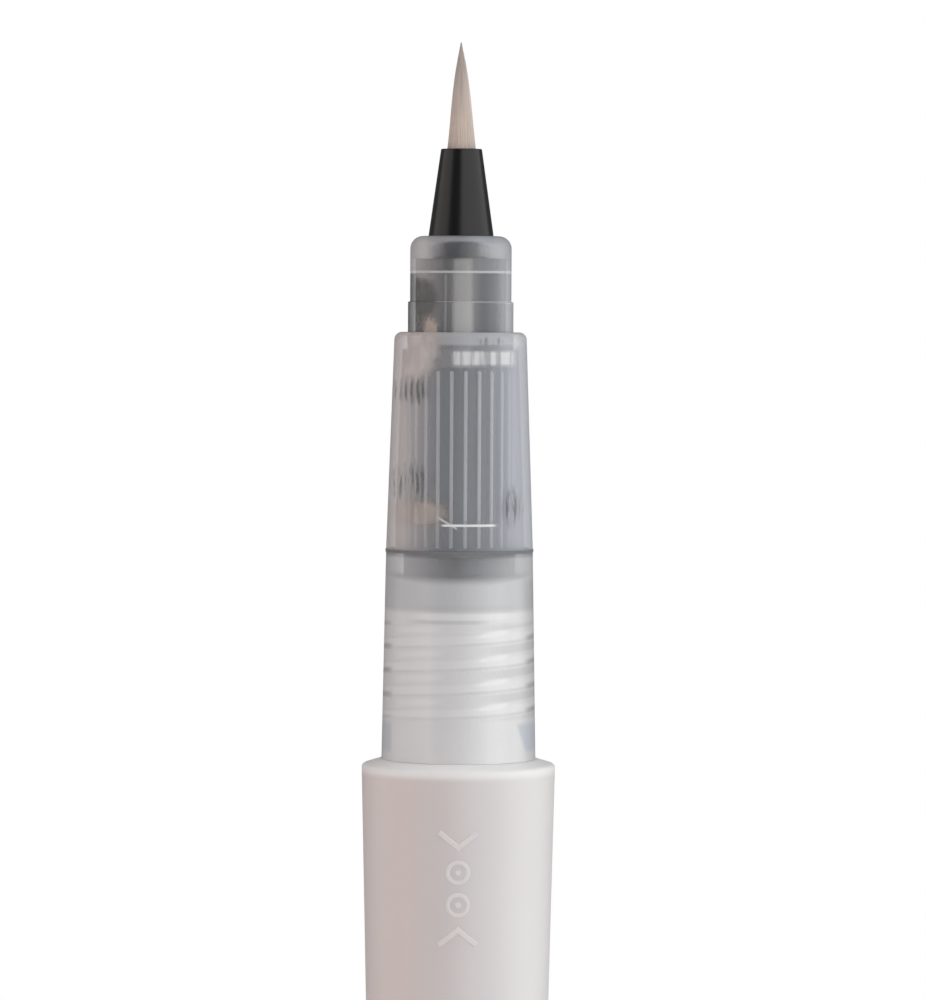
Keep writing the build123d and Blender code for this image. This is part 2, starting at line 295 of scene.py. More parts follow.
# ---- Finishes ---------------------------------------------------------------------------------------
# Places and widths are in millimetres, grains in repeats per millimetre, and colours are linear.
def satin_white():
    """Squeezable polyethylene: satin, faintly mottled, with a painted warm reflection on its left, painted
    light on its right and a painted highlight on its shoulder's rim.
    """
    g = Graph("satin_white_polyethylene")
    g.set(Roughness=0.42, IOR=1.5, Subsurface_Weight=0.25, Subsurface_Scale=0.0012)
    g.set(Subsurface_Radius=(1.0, 0.75, 0.7))
    # The back's plain tone, and the tone of the painted highlight on the shoulder's rim.
    back_tone, rim_light_tone = (0.83, 0.815, 0.805), (1.0, 0.985, 0.97)
    rim_highlight_low_z, rim_highlight_high_z = shoulder_z - 1.1, shoulder_z - 0.55
    # Painted light across x: pinker on the left as a painted warm reflection, paler where the light falls on
    # the right; it fades to the back's plain tone behind.
    painted_light_tones = g.across([
        (-5.6, (0.82, 0.745, 0.725)),
        (-3.8, (0.80, 0.705, 0.68)),
        (-1.0, (0.765, 0.705, 0.69)),
        (1.4, (0.79, 0.745, 0.75)),
        (4.5, (0.83, 0.81, 0.805)),
    ])
    painted_light_tones = g.mix(g.range(g.y, 0.0, 3.0), painted_light_tones, back_tone)
    darker, lighter = g.tint(painted_light_tones, (0.98, 0.975, 0.97)), g.tint(painted_light_tones, (1.02, 1.02, 1.02))
    mottled = g.mix(g.noise(0.12, 0.12, 0.05), darker, lighter)
    # Painted highlight along the shoulder's rounded rim.
    rim = g.range(g.z, rim_highlight_low_z, rim_highlight_high_z, 0.0, 0.9)
    g.feed("Base Color", g.mix(rim, mottled, rim_light_tone))
    g.bump(g.noise(6, 6, 6, 4.0), 0.004 * MM)
    return g.material


def neck_white():
    """The same polyethylene where it is threaded, glossier, with painted highlights on its thread's crests.
    """
    g = Graph("threaded_neck")
    g.set(Roughness=0.25, IOR=1.5)
    # Painted highlight: the thread's crests are paler.
    crest = g.band(g.thread_phase(), 0.0, 0.10, 0.12)
    body = g.mix(g.noise(0.6, 0.6, 0.3), (0.66, 0.66, 0.68), (0.74, 0.74, 0.75))
    g.feed("Base Color", g.mix(crest, body, (0.86, 0.86, 0.86)))
    g.bump(g.noise(5, 5, 5, 4.0), 0.005 * MM)
    return g.material


def clear_cap():
    """Frosted polypropylene, milky enough that the barrel's tail only just shows inside it."""
    g = Graph("frosted_cap")
    g.set(Roughness=0.3, IOR=1.5)
    g.feed("Base Color", g.mix(g.noise(0.3, 0.3, 0.1), (0.90, 0.90, 0.905), (0.94, 0.94, 0.945)))
    g.feed("Alpha", g.see_through(facing=0.62, grazing=0.96))
    g.bump(g.noise(4, 4, 3, 4.0), 0.006 * MM)
    return g.material


def sleeve_dark_reflections(g):
    """Painted dark reflections: broken, wavering dark strokes in three spots on the sleeve and a fainter
    dark patch at its top.
    """
    stroke_scale, waver_depth = 0.06, 9.0
    waver = g.times(g.noise(1.6, 1.6, 0.5, 2.0), waver_depth)
    wave = g.math("SINE", g.plus(g.over(g.x, stroke_scale), waver))
    strokes = g.range(wave, -0.9, 0.8, 0.15, 1.0)
    broken = g.range(g.noise(2.6, 2.6, 0.6, 4.0), 0.40, 0.58, 0.2, 1.0)
    high = g.spot(
        x=-3.3, z=sleeve_top_z - 3.9, half_width=1.25, half_height=0.75, soft=0.5, wobble=1.7, grain=1.6
    )
    low = g.spot(
        x=-3.3, z=sleeve_top_z - 10.0, half_width=1.3, half_height=1.1, soft=0.5, wobble=1.7, grain=1.6
    )
    right = g.spot(
        x=3.4, z=sleeve_top_z - 11.5, half_width=0.6, half_height=1.2, soft=0.4, wobble=1.2, grain=1.6
    )
    faint_dark_reflection = g.spot(
        x=2.0, z=sleeve_top_z - 0.6, half_width=0.75, half_height=0.3, soft=0.4, wobble=1.6, grain=3.0
    )
    return g.times(g.either(high, low, right, g.times(faint_dark_reflection, 0.55)), strokes, broken)


def sleeve_level_highlight(g):
    """A painted highlight: a bright level streak low on the sleeve's front, with a fork that falls across
    its left end.
    """
    level_z, fork_z, fork_slope = sleeve_low_z + 1.72, sleeve_low_z + 1.4, 0.59
    level = g.times(g.band(g.z, level_z, 0.05, 0.06), g.band(g.x, 0.6, 1.5, 0.6))
    slanted = g.plus(g.z, g.times(g.x, fork_slope))
    fork = g.times(g.band(slanted, fork_z, 0.05, 0.07), g.band(g.x, -0.8, 0.5, 0.3), 0.7)
    return g.times(g.either(level, fork), g.front())


def clear_sleeve():
    """Clear wall with a light haze; painted warm and dark reflections on its left, a painted highlight low
    on its front, and painted light across its rim.
    """
    g = Graph("frosted_sleeve")
    g.set(Roughness=0.28, IOR=1.5)
    cloud = g.noise(0.4, 0.4, 0.12)
    # The warm tones, used on the left, are a painted warm reflection.
    warm = g.mix(cloud, (0.645, 0.615, 0.615), (0.73, 0.69, 0.685))
    cool = g.mix(cloud, (0.55, 0.575, 0.625), (0.60, 0.625, 0.675))
    # Painted warm reflections: two beige patches on the left, high and low.
    high_warm_reflection = g.spot(
        x=-3.3, z=sleeve_top_z - 1.4, half_width=1.9, half_height=2.0, soft=0.5, wobble=1.0, grain=0.9
    )
    low_warm_reflection = g.spot(
        x=-2.7, z=sleeve_low_z + 2.5, half_width=2.0, half_height=0.95, soft=0.45, wobble=0.9, grain=0.8
    )
    mottle = g.range(g.noise(1.0, 1.0, 0.4, 2.0), 0.38, 0.6, 0.82, 1.0)
    high_warm_reflection, low_warm_reflection = g.times(high_warm_reflection, mottle), g.times(low_warm_reflection, mottle)
    # Painted dark reflections, and a painted highlight low on the front.
    dark_reflection, level_highlight = sleeve_dark_reflections(g), sleeve_level_highlight(g)
    shelf = g.times(g.band(g.z, sleeve_top_z - 1.7, 0.3, 0.4), g.band(g.x, 1.5, 1.8, 0.6), g.front())
    shelf = g.times(shelf, g.range(g.noise(2.6, 0.0, 0.1), 0.40, 0.56, 0.6, 1.0))
    # Painted light across the rim: darker and warmer on the left, paler and bluer on the right.
    rim = g.range(g.z, sleeve_top_z - 1.1, sleeve_top_z - 0.7)
    rim_light_tone = g.across([
        (-4.4, (0.57, 0.53, 0.53)),
        (-1.0, (0.62, 0.62, 0.64)),
        (3.0, (0.73, 0.74, 0.79)),
        (4.4, (0.66, 0.66, 0.69)),
    ])
    colour = g.layers(
        g.mix(g.range(g.x, -4.2, -0.5), warm, cool),
        (rim, rim_light_tone),
        (high_warm_reflection, (0.745, 0.675, 0.65)),
        (low_warm_reflection, (0.66, 0.575, 0.53)),
        (shelf, (0.90, 0.90, 0.91)),
        (g.times(dark_reflection, 0.9), (0.11, 0.11, 0.12)),
        (level_highlight, WHITE),
    )
    g.feed("Base Color", colour)
    left_haze = g.range(g.x, -1.0, -3.0, 0.0, 0.05)
    solid = g.either(
        g.plus(g.see_through(facing=0.25, grazing=0.95, power=1.2), left_haze),
        g.times(high_warm_reflection, 0.7),
        g.times(low_warm_reflection, 0.55),
        g.times(rim, 0.5),
        g.times(shelf, 0.66),
        g.times(dark_reflection, 0.62),
        g.times(level_highlight, 0.8),
    )
    g.feed("Alpha", solid)
    g.bump(g.noise(5, 5, 3, 4.0), 0.006 * MM)
    return g.material


def nose_lines(g, below_core):
    """Painted highlights as bright lines on the outer wall: where the core ends, where the wall steps, and
    one down the core's front.
    """
    core_line = g.times(g.band(g.z, core_top_z, 0.05, 0.08), 0.8)
    step_line = g.times(g.band(g.z, nose_step_z, 0.04, 0.08), g.range(g.x, -0.6, 1.2), 0.45)
    strip_highlight = g.times(g.band(g.x, -1.0, 0.05, 0.1), below_core, 0.42, g.front())
    outer_wall = g.range(g.radius(), 3.2, 3.3)
    return g.times(g.either(core_line, step_line, strip_highlight), outer_wall)


def clear_nose():
    """Clear stepped cap with painted light and shade: bright lines, a pale block and a shadow on its front,
    a lighter top on the right, and dark and warm painted reflections on its left; its thick end wall starts
    above the core.
    """
    g = Graph("frosted_nose")
    g.set(Roughness=0.26, IOR=1.5)
    cloud = g.noise(0.4, 0.4, 0.12)
    # The warm tones, used on the left, are a painted warm reflection.
    warm = g.mix(cloud, (0.55, 0.54, 0.545), (0.61, 0.60, 0.605))
    cool = g.mix(cloud, (0.48, 0.49, 0.515), (0.52, 0.53, 0.555))
    below_core = g.range(g.z, core_top_z, core_top_z - 0.2)
    # Painted highlights as bright lines.
    line = nose_lines(g, below_core)
    below_wall = g.range(g.z, core_top_z + 1.1, core_top_z + 0.8)
    # Painted highlight: a pale block just right of the front's middle; beside it on the right a painted
    # shadow.
    highlight_block = g.times(g.band(g.x, 0.15, 0.4, 0.7), below_wall, g.front())
    shadow = g.times(g.band(g.x, 1.95, 0.35, 0.6), below_wall, g.front())
    end_wall = g.range(g.z, core_top_z + 0.72, core_top_z + 0.95)
    dim = g.times(end_wall, g.band(g.x, -0.7, 0.5, 1.5), g.front())
    end_light = g.times(g.range(g.z, nose_top_z - 0.9, nose_top_z - 0.45), g.range(g.x, 0.2, 1.2))
    end_light = g.times(end_light, g.front())
    # Painted dark reflections on the left: along its edge and in a high and a low patch; and a painted warm
    # reflection low on the left.
    edge_dark_reflection = g.times(g.range(g.x, -2.85, -3.2), below_core, g.front())
    high_dark_reflection = g.spot(
        x=-2.8, z=core_top_z - 1.8, half_width=1.15, half_height=1.4, soft=0.22, wobble=0.5, grain=1.6
    )
    low_dark_reflection = g.spot(
        x=-2.9, z=sleeve_top_z + 0.6, half_width=0.9, half_height=1.3, soft=0.4, wobble=1.0, grain=1.6
    )
    mottle = g.range(g.noise(3.0, 3.0, 2.0, 4.0), 0.36, 0.6, 0.75, 1.0)
    nose_dark_reflection = g.times(g.either(high_dark_reflection, g.times(low_dark_reflection, 0.8), edge_dark_reflection), mottle, g.front())
    warm_reflection = g.spot(
        x=-2.0, z=sleeve_top_z + 0.25, half_width=0.5, half_height=0.75, soft=0.4, wobble=1.5, grain=2.2
    )
    colour = g.layers(
        g.mix(g.range(g.x, -3.2, 0.0), warm, cool),
        (g.times(shadow, 0.52), (0.22, 0.24, 0.28)),
        (highlight_block, (0.72, 0.715, 0.71)),
        (g.times(dim, 0.4), (0.16, 0.17, 0.20)),
        (g.times(end_light, 0.4), (0.42, 0.45, 0.51)),
        (g.times(nose_dark_reflection, 0.9), (0.10, 0.10, 0.10)),
        (g.times(edge_dark_reflection, 0.6), (0.03, 0.03, 0.035)),
        (warm_reflection, (0.70, 0.60, 0.53)),
        (line, (0.9, 0.91, 0.92)),
    )
    g.feed("Base Color", colour)
    highlight_block_haze = g.range(g.z, nose_step_z - 0.1, nose_step_z + 0.1, 0.46, 0.34)
    solid = g.either(
        g.see_through(facing=0.185, grazing=0.94, power=1.1),
        g.times(line, 0.75),
        g.times(highlight_block, highlight_block_haze),
        g.times(end_light, 0.3),
        g.times(end_wall, g.range(g.grazing(), 0.05, 0.26, 0.14, 0.8)),
        g.times(nose_dark_reflection, 0.6),
        g.times(warm_reflection, 0.55),
    )
    g.feed("Alpha", solid)
    g.bump(g.noise(5, 5, 3, 4.0), 0.006 * MM)
    return g.material


def thread_highlights(g, phase):
    """Painted highlights: bright lens-shaped streaks on the right of the front, one above each turn of the
    neck's thread.
    """
    middle_x, half_length, slope = 2.15, 1.45, 0.05
    middle_phase, half_phase = 0.16, 0.15
    tilted = g.minus(phase, g.times(g.minus(g.x, 2.2), slope))
    along = g.over(g.minus(g.x, middle_x), half_length)
    beside = g.over(g.minus(tilted, middle_phase), half_phase)
    return g.times(g.range(g.squares(along, beside), 0.15, 1.0, 1.0, 0.0), g.front())


def clear_collar():
    """Clear above the web and milky below it, where the neck's thread shows through in painted light and
    shade, with painted highlights on the right of the front.
    """
    g = Graph("frosted_collar")
    g.set(Roughness=0.26, IOR=1.5)
    milky = g.range(g.z, shoulder_z + 12.5, shoulder_z + 11.7)
    haze = g.mix(g.noise(0.4, 0.4, 0.12), (0.58, 0.585, 0.60), (0.64, 0.645, 0.66))
    milk = g.mix(g.noise(0.35, 0.35, 0.2), (0.87, 0.865, 0.87), (0.92, 0.915, 0.92))
    web = g.range(g.z, shoulder_z + 9.8, shoulder_z + 10.3)
    phase = g.thread_phase()
    from_turn = g.math("ABSOLUTE", phase)
    threaded = g.band(g.z, thread_z + 3.9, 2.9, 0.5)
    # Painted light on the thread's crests and, on the left, between its turns; painted shade in its grooves
    # on the right.
    crest = g.times(g.band(phase, 0.0, 0.12, 0.16), threaded)
    between = g.times(g.band(from_turn, 0.5, 0.06, 0.12), g.band(g.x, -2.6, 0.9, 1.0), threaded)
    groove = g.times(g.band(from_turn, 0.5, 0.1, 0.14), g.range(g.x, 0.8, 3.2), threaded)
    # Painted highlights streak the right of the front.
    highlight_streak = g.times(thread_highlights(g, phase), threaded)
    # Painted light on the neck's top lip, with painted shade just under and over it.
    lip = g.times(g.band(g.z, neck_top_z - 0.15, 0.1, 0.2), g.band(g.x, 0.4, 2.2, 1.6), g.front())
    under_lip = g.times(g.band(g.z, neck_top_z - 0.52, 0.05, 0.15), g.band(g.x, -0.7, 1.6, 1.6))
    over_lip = g.times(g.band(g.z, neck_top_z + 0.35, 0.1, 0.3), g.band(g.x, 0.6, 2.4, 1.4), 0.6)
    lip_shade = g.times(g.either(under_lip, over_lip), g.front())
    # Painted shade where each turn of the thread meets the collar's sides.
    side_thread_shade = g.times(g.band(phase, -0.16, 0.03, 0.16), g.range(g.math("ABSOLUTE", g.x), 4.25, 4.75), threaded)
    slanted = g.plus(g.x, g.times(g.minus(g.z, shoulder_z + 2.3), 0.33))
    blue = g.either(g.range(slanted, 3.8, 4.1), g.range(g.x, -4.35, -4.6, 0.0, 0.6))
    blue = g.times(blue, g.band(g.z, shoulder_z + 1.6, 0.7, 0.5))
    seam_shade = g.band(g.z, seam_z - 0.04, 0.04, 0.3)
    light = g.either(g.times(g.either(crest, between), 0.62), g.times(lip, 0.6))
    shade = g.either(g.times(lip_shade, 0.4), g.times(groove, 0.36))
    milk = g.layers(
        milk,
        (web, (0.685, 0.69, 0.705)),
        (shade, (0.55, 0.55, 0.57)),
        (light, (0.98, 0.975, 0.97)),
    )
    # Painted shade towards the sides, darkest at the right.
    sides = g.across([
        (-5.0, 0.88),
        (-3.6, 0.87),
        (-1.6, 0.93),
        (0.0, 1.0),
        (2.6, 1.0),
        (3.6, 0.92),
        (5.0, 0.74),
    ])
    colour = g.layers(
        g.mix(milky, haze, g.tint(milk, sides)),
        (g.times(blue, 0.7), (0.50, 0.55, 0.62)),
        (g.times(side_thread_shade, 0.6), (0.34, 0.35, 0.38)),
        (g.times(seam_shade, 0.55), (0.12, 0.125, 0.14)),
        (highlight_streak, WHITE),
    )
    g.feed("Base Color", colour)
    spigot_fade = g.range(g.z, seam_z + 0.02, seam_z + 0.1, 1.0, 0.2)
    wall = g.times(g.see_through(facing=0.22, grazing=0.95, power=0.6), spigot_fade)
    solid = g.either(g.plus(wall, g.times(milky, 0.58)), highlight_streak, g.times(seam_shade, 0.55))
    g.feed("Alpha", g.math("MINIMUM", solid, 0.97))
    g.bump(g.plus(g.noise(5, 5, 3, 4.0), g.times(crest, milky, 3.0)), 0.02 * MM)
    return g.material


def ribbed_plastic():
    """Smoky plastic, dark in its grooves, with painted light towards the right and painted highlights on its
    crests.
    """
    g = Graph("smoky_ribs")
    g.set(Roughness=0.35, IOR=1.5)
    # Painted light across x: palest towards the right, a little paler at the left edge.
    painted_light_tones = g.across([(-3.7, 0.22), (-2.4, 0.12), (-0.4, 0.08), (1.4, 0.11), (2.4, 0.34), (3.7, 0.8)])
    groove = g.tint(g.clouded(painted_light_tones, 0.15), (0.93, 0.99, 1.12))
    # Painted highlight on each rib's crest.
    crest = g.range(g.radius(), 3.52, 3.58)
    g.feed("Base Color", g.mix(crest, groove, (0.96, 0.97, 0.98)))
    g.bump(g.noise(4, 4, 1, 4.0), 0.008 * MM)
    return g.material


def dark_core():
    """Dark grey core; on its stem's front the tones are painted light, cloudier, with a pale block about the
    middle and paler towards the right.
    """
    g = Graph("dark_core_plastic")
    g.set(Roughness=0.3, IOR=1.5)
    # Painted light across x: a pale block about the middle and paler towards the right edge.
    painted_light_tones = g.across([
        (-3.0, 0.05),
        (-1.2, 0.04),
        (-0.3, 0.22),
        (0.6, 0.24),
        (1.5, 0.07),
        (2.2, 0.12),
        (3.0, 0.4),
    ])
    base = g.mix(g.noise(0.8, 0.8, 0.3), (0.085, 0.11, 0.155), (0.105, 0.135, 0.185))
    foot = g.range(g.z, core_low_z + 1.5, core_low_z + 0.3, 0.0, 0.75)
    base = g.mix(foot, base, (0.36, 0.37, 0.39))
    stem = g.times(g.range(g.z, sleeve_low_z, sleeve_low_z + 1.0), g.front())
    g.feed("Base Color", g.mix(stem, base, g.clouded(painted_light_tones, 0.2)))
    g.bump(g.noise(5, 5, 5, 4.0), 0.004 * MM)
    return g.material


def satin_black():
    """Black cone; its hidden root has painted light: darkest just left of the middle, palest on the right.
    """
    g = Graph("satin_black_plastic")
    g.set(Roughness=0.28, IOR=1.55, Specular_IOR_Level=0.42)
    black = g.mix(g.noise(1.5, 1.5, 0.6), (0.002, 0.002, 0.002), (0.004, 0.004, 0.0035))
    # Painted light on the root, seen through the nose ring: darkest just left of the middle, paler towards
    # both sides, palest on the right.
    root = g.across([
        (-2.85, 0.2),
        (-1.6, 0.07),
        (-0.8, 0.02),
        (0.1, 0.04),
        (0.8, 0.16),
        (1.6, 0.4),
        (2.85, 0.6),
    ])
    cone = g.range(g.z, nose_top_z - 0.02, nose_top_z)
    g.feed("Base Color", g.mix(cone, root, black))
    g.bump(g.noise(9, 9, 6, 5.0), 0.003 * MM)
    return g.material


def plain(name, low, high, grain, roughness, relief=0.005, **extra):
    """A cloudy mix of two tones with a fine bump; grain is in repeats per millimetre."""
    g = Graph(name)
    g.set(Roughness=roughness, **extra)
    g.feed("Base Color", g.mix(g.noise(*grain), low, high))
    g.bump(g.noise(*(3 * c for c in grain), 4.0), relief * MM)
    return g.material


def bristle():
    """Pale beige nylon, greyer and darker towards the fine point, with painted shade down its right side."""
    g = Graph("nylon_filament")
    g.set(Roughness=0.42, Sheen_Weight=0.25, Sheen_Roughness=0.4)
    share = g.range(g.z, mouth_z + 1.0, tip_z)
    body = g.mix(g.noise(9, 9, 0.25, 2.0), (0.69, 0.565, 0.485), (0.85, 0.745, 0.67))
    # Painted shade: darker down the right side and a little on the left.
    body = g.tint(body, g.across([(-1.0, 0.94), (-0.4, 1.0), (0.2, 1.0), (1.0, 0.84)]))
    g.feed("Base Color", g.mix(share, body, (0.60, 0.53, 0.485)))
    return g.material


barrel_finish = satin_white()
bristle_finish = bristle()
mark_finish = plain(
    "squeeze_mark_plastic", (0.825, 0.775, 0.765), (0.865, 0.82, 0.81), grain=(0.5, 0.5, 0.2), roughness=0.5
)
natural_white = plain(
    "natural_polyethylene", (0.74, 0.73, 0.71), (0.8, 0.79, 0.77), grain=(0.5, 0.5, 0.2), roughness=0.45
)
milky_silicone = plain(
    "milky_silicone", (0.7, 0.71, 0.72), (0.78, 0.78, 0.78), grain=(1, 1, 1), roughness=0.4
)
black_rubber = plain(
    "black_rubber", (0.02, 0.021, 0.022), (0.04, 0.04, 0.042), grain=(3, 3, 3), roughness=0.6
)
grey_rubber = plain(
    "grey_rubber", (0.17, 0.175, 0.18), (0.225, 0.23, 0.24), grain=(3, 3, 3), roughness=0.6
)
steel = plain(
    "polished_steel", (0.55, 0.55, 0.56), (0.66, 0.66, 0.67),
    grain=(2, 2, 2), roughness=0.18, relief=0.001, Metallic=1.0,
)
fibre = plain(
    "bonded_fibre", (0.62, 0.6, 0.56), (0.82, 0.8, 0.76), grain=(12, 12, 0.8), roughness=0.9, relief=0.02
)
foam = plain(
    "open_cell_foam", (0.55, 0.52, 0.44), (0.75, 0.72, 0.63), grain=(6, 6, 6), roughness=0.95, relief=0.05
)
dress(barrel_finish, "tail_plug")
dress(clear_cap(), "cap_shell")
dress(natural_white, "cap_crown", "cap_liner", "neck_plug", "valve_retainer")
dress(clear_sleeve(), "grip_sleeve")
dress(clear_nose(), "nose_ring")
dress(dark_core(), "feed_core")
dress(black_rubber, "nozzle_seal")
dress(grey_rubber, "seam_gasket")
dress(milky_silicone, "duckbill_valve", "neck_seal")
dress(steel, "mixing_ball")
dress(fibre, "feed_wick")
dress(foam, "flow_sponge")
dress(bristle_finish, "tuft_heel")


# ---- Mesh helpers -----------------------------------------------------------------------------------
def add_piece(name, vertices, faces, material, crease=30):
    """A smooth-shaded piece from points in millimetres; edges above the crease angle stay crisp."""
    mesh = bpy.data.meshes.new(name)
    mesh.from_pydata([Vector(v) * MM for v in vertices], [], faces)
    mesh.validate()
    mesh.shade_smooth()
    mesh.set_sharp_from_angle(angle=math.radians(crease))
    mesh.materials.append(material)
    piece = bpy.data.objects.new(name, mesh)
    bpy.context.scene.collection.objects.link(piece)
    return piece


def fillet(before, corner, after, radius, steps=7):
    """Points of a round in place of one corner of an outline."""
    before, corner, after = Vector(before), Vector(corner), Vector(after)
    back, ahead = (before - corner).normalized(), (after - corner).normalized()
    half = back.angle(ahead) / 2
    centre = corner + (back + ahead).normalized() * radius / math.sin(half)
    start = corner + back * radius / math.tan(half) - centre
    end = corner + ahead * radius / math.tan(half) - centre
    first = math.atan2(start.y, start.x)
    sweep = math.remainder(math.atan2(end.y, end.x) - first, 2 * math.pi)
    turn = [first + sweep * i / steps for i in range(steps + 1)]
    return [(centre.x + radius * math.cos(a), centre.y + radius * math.sin(a)) for a in turn]


def rounded(outline, rounds):
    """The outline with a round of rounds[index] at each named corner."""
    points = []
    for i, corner in enumerate(outline):
        if i in rounds:
            points += fillet(outline[i - 1], corner, outline[(i + 1) % len(outline)], rounds[i])
        else:
            points.append(corner)
    return points


def lathe(outline, segments=192):
    """Vertices and faces of a closed (radius, height) outline turned about the pen's axis."""
    count = len(outline)
    vertices = [
        (r * math.cos(2 * math.pi * s / segments), r * math.sin(2 * math.pi * s / segments), z)
        for s in range(segments)
        for r, z in outline
    ]
    faces = []
    for s in range(segments):
        here, there = s * count, (s + 1) % segments * count
        for i in range(count):
            j = (i + 1) % count
            faces.append((here + i, there + i, there + j, here + j))
    return vertices, faces


def mirrored(half):
    """A thread's whole outline from the (height, reach) points of its upper half, foot first."""
    return [(-z, reach) for z, reach in half] + [(z, reach) for z, reach in reversed(half)]


def screw(section, start_z, turns, steps_per_turn=120, fade_steps=16):
    """A right-hand ridge with a section of (root radius, radius, height) that fades at its ends."""
    vertices, faces = [], []
    count, steps = len(section), round(turns * steps_per_turn)
    for step in range(steps + 1):
        angle = 2 * math.pi * step / steps_per_turn
        rise = min(1.0, min(step, steps - step) / fade_steps)
        for root, r, z in section:
            reach = root + (r - root) * rise
            height = start_z + thread_pitch * step / steps_per_turn + z
            vertices.append((reach * math.cos(angle), reach * math.sin(angle), height))
        if step:
            low = (step - 1) * count
            for i in range(count):
                j = (i + 1) % count
                faces.append((low + i, low + count + i, low + count + j, low + j))
    faces.append(tuple(range(count)))
    faces.append(tuple(steps * count + i for i in reversed(range(count))))
    return vertices, faces


# ---- Barrel -----------------------------------------------------------------------------------------
def barrel_radius(z):
    """The barrel's hollow taper, from the tail to the shoulder."""
    share = (z - tail_z) / barrel_run
    middle_radius = 5.47
    bow = 2 * (tail_radius + shoulder_radius - 2 * middle_radius)
    return tail_radius + (shoulder_radius - tail_radius - bow) * share + bow * share * share


def make_barrel():
    """The hollow barrel with its neck, and the thread round the neck."""
    wall, neck_bore = 0.9, 3.2
    slope_radius, slope_drop = 5.3, 0.36
    edge_round, slope_round, neck_round = 0.3, 0.5, 0.3
    cavity_top_z = shoulder_z - 1.2
    lining_top_z, bore_low_z = cavity_top_z - 0.5, cavity_top_z + 0.8
    edge_z = shoulder_z - slope_drop
    steps = 50
    levels = [barrel_low_z + (edge_z - barrel_low_z) * i / steps for i in range(steps + 1)]
    skin = [(barrel_radius(z), z) for z in levels]
    lining = [(barrel_radius(z) - wall, z) for z in reversed(levels) if z < lining_top_z]
    shoulder = [(slope_radius, shoulder_z), (neck_radius, shoulder_z)]
    neck = [(neck_radius, neck_top_z), (neck_bore, neck_top_z), (neck_bore, bore_low_z)]
    outline = skin + shoulder + neck + [(barrel_radius(cavity_top_z) - wall, cavity_top_z)] + lining
    edge = len(skin) - 1
    rounds = {edge: edge_round, edge + 1: slope_round, edge + 3: neck_round}
    body = add_piece("barrel_body", *lathe(rounded(outline, rounds)), barrel_finish)
    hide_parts("barrel")
    root = neck_radius - 0.06  # the ridge's foot is sunk into the neck
    ridge = mirrored([(0.43, 0), (0.25, 0.34), (0.18, 0.41), (0.10, 0.42)])
    section = [(root, neck_radius + reach if reach else root, z) for z, reach in ridge]
    thread = add_piece("neck_thread", *screw(section, thread_z, thread_turns), neck_white(), crease=50)
    for piece in (body, thread):
        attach(piece, "barrel")


class Relief:
    """Low raised marks that follow the barrel's front, drawn as lines and discs in millimetres."""

    height, foot, chamfer = 0.045, -0.03, 0.12
    least_mitre = 0.4  # keeps a sharp corner from running out to a spike

    def __init__(self):
        self.vertices, self.faces = [], []

    def place(self, across, z, height):
        """Add a point: across is measured round the barrel from its front, height off its skin."""
        radius = barrel_radius(z)
        angle = across / radius
        reach = radius + height
        self.vertices.append((reach * math.sin(angle), -reach * math.cos(angle), z))

    def line(self, points, half_width, closed=False):
        """A band along the points, with chamfered sides and mitred corners."""
        first, count = len(self.vertices), len(points)
        inset = half_width - self.chamfer
        profile = (
            (-half_width, self.foot),
            (-inset, self.height),
            (inset, self.height),
            (half_width, self.foot),
        )
        for i, point in enumerate(points):
            before = points[i - 1] if i or closed else point
            after = points[(i + 1) % count] if i < count - 1 or closed else point
            back, ahead = (point - before), (after - point)
            back = back.normalized() if back.length else ahead.normalized()
            ahead = ahead.normalized() if ahead.length else back
            along = (back + ahead).normalized()
            side = Vector((-along.y, along.x)) / max(self.least_mitre, along.dot(ahead))
            for offset, height in profile:
                spot = point + side * offset
                self.place(spot.x, spot.y, height)
        for i in range(count if closed else count - 1):
            here, there = first + 4 * i, first + 4 * ((i + 1) % count)
            self.faces += [(here + k + 1, here + k, there + k, there + k + 1) for k in range(3)]
            self.faces.append((here, here + 3, there + 3, there))
        if not closed:
            last = first + 4 * (count - 1)
            self.faces.append((first, first + 1, first + 2, first + 3))
            self.faces.append((last + 3, last + 2, last + 1, last))

    def disc(self, centre, radius, points=32):
        """A dot with a chamfered edge."""
        first = len(self.vertices)
        for reach, height in ((radius, self.foot), (radius - self.chamfer, self.height)):
            for i in range(points):
                angle = 2 * math.pi * i / points
                across, along = reach * math.cos(angle), reach * math.sin(angle)
                self.place(centre.x + across, centre.y + along, height)
        for i in range(points):
            j = (i + 1) % points
            self.faces.append((first + i, first + j, first + points + j, first + points + i))
        self.faces.append(tuple(first + points + i for i in range(points)))
        self.faces.append(tuple(first + i for i in reversed(range(points))))


